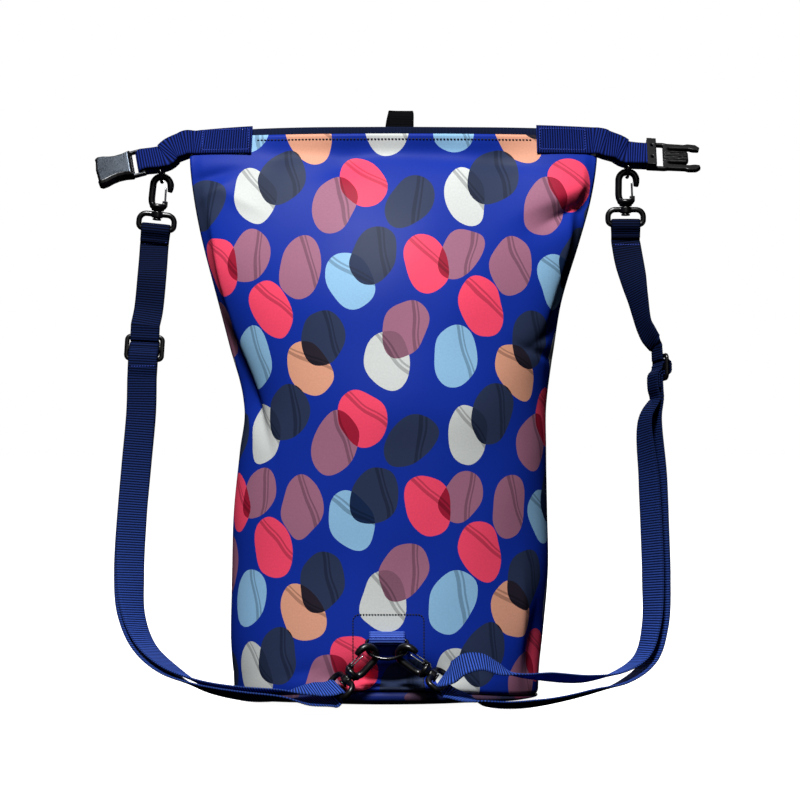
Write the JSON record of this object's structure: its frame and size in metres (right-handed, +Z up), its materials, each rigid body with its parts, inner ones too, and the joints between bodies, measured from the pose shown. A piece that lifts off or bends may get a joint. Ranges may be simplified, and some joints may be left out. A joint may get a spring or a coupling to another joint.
{
  "type": "dry bag backpack",
  "caption": "Roll-top dry bag of printed coated cloth, standing open on an oval base, with webbing shoulder straps on swivel hooks and a side release buckle.",
  "frame": {"origin": "middle of the flat underside of the base panel", "axes": "+Z up, front towards -Y, the socket half of the buckle towards -X"},
  "size_m": [0.512, 0.2139, 0.4947],
  "materials": {
    "bag_fabric": "coated cloth with a satin sheen and a printed pattern",
    "band_navy": "navy woven tape",
    "webbing_blue": "ribbed royal blue webbing",
    "webbing_black": "black webbing",
    "black_plastic": "moulded black plastic, satin",
    "steel_wire": "bright spring wire"
  },
  "bodies": {
    "bag": {"front_panel": "bag_fabric", "back_panel": "bag_fabric", "base_panel": "bag_fabric", "mouth_band": "band_navy", "roll_strap_left": "webbing_blue", "roll_strap_right": "webbing_blue", "buckle_female": "black_plastic", "buckle_male": "black_plastic", "ring_left": "black_plastic", "ring_right": "black_plastic", "ring_bottom": "black_plastic", "ring_loop": "webbing_blue", "triglide_left": "black_plastic", "triglide_right": "black_plastic", "strap_left": "webbing_blue", "strap_right": "webbing_blue", "hang_loop": "webbing_black", "hook_top_left": "black_plastic", "eye_top_left": "black_plastic", "hook_top_right": "black_plastic", "eye_top_right": "black_plastic", "hook_bottom_left": "black_plastic", "eye_bottom_left": "black_plastic", "hook_bottom_right": "black_plastic", "eye_bottom_right": "black_plastic"},
    "wire_gate_top_left": {"gate_top_left": "steel_wire"},
    "wire_gate_top_right": {"gate_top_right": "steel_wire"},
    "wire_gate_bottom_left": {"gate_bottom_left": "steel_wire"},
    "wire_gate_bottom_right": {"gate_bottom_right": "steel_wire"}
  },
  "joints": [
    {"name": "gate_top_left_swing", "type": "hinge", "parent": "bag", "child": "wire_gate_top_left", "pos_m": [-0.19035, 0.01395, 0.416], "axis": [0.0051, -1, -0.0005], "range_deg": [0, 28], "stiffness_Nm_per_rad": 0.01},
    {"name": "gate_top_right_swing", "type": "hinge", "parent": "bag", "child": "wire_gate_top_right", "pos_m": [0.2049, 0.01395, 0.42056], "axis": [0, -1, 0], "range_deg": [0, 28], "stiffness_Nm_per_rad": 0.01},
    {"name": "gate_bottom_left_swing", "type": "hinge", "parent": "bag", "child": "wire_gate_bottom_left", "pos_m": [-0.03073, -0.10243, 0.03813], "axis": [-0.3026, 0.9347, 0.1862], "range_deg": [0, 28], "stiffness_Nm_per_rad": 0.01},
    {"name": "gate_bottom_right_swing", "type": "hinge", "parent": "bag", "child": "wire_gate_bottom_right", "pos_m": [0.0281, -0.10289, 0.04089], "axis": [-0.3209, -0.8894, -0.3255], "range_deg": [0, 28], "stiffness_Nm_per_rad": 0.01}
  ]
}
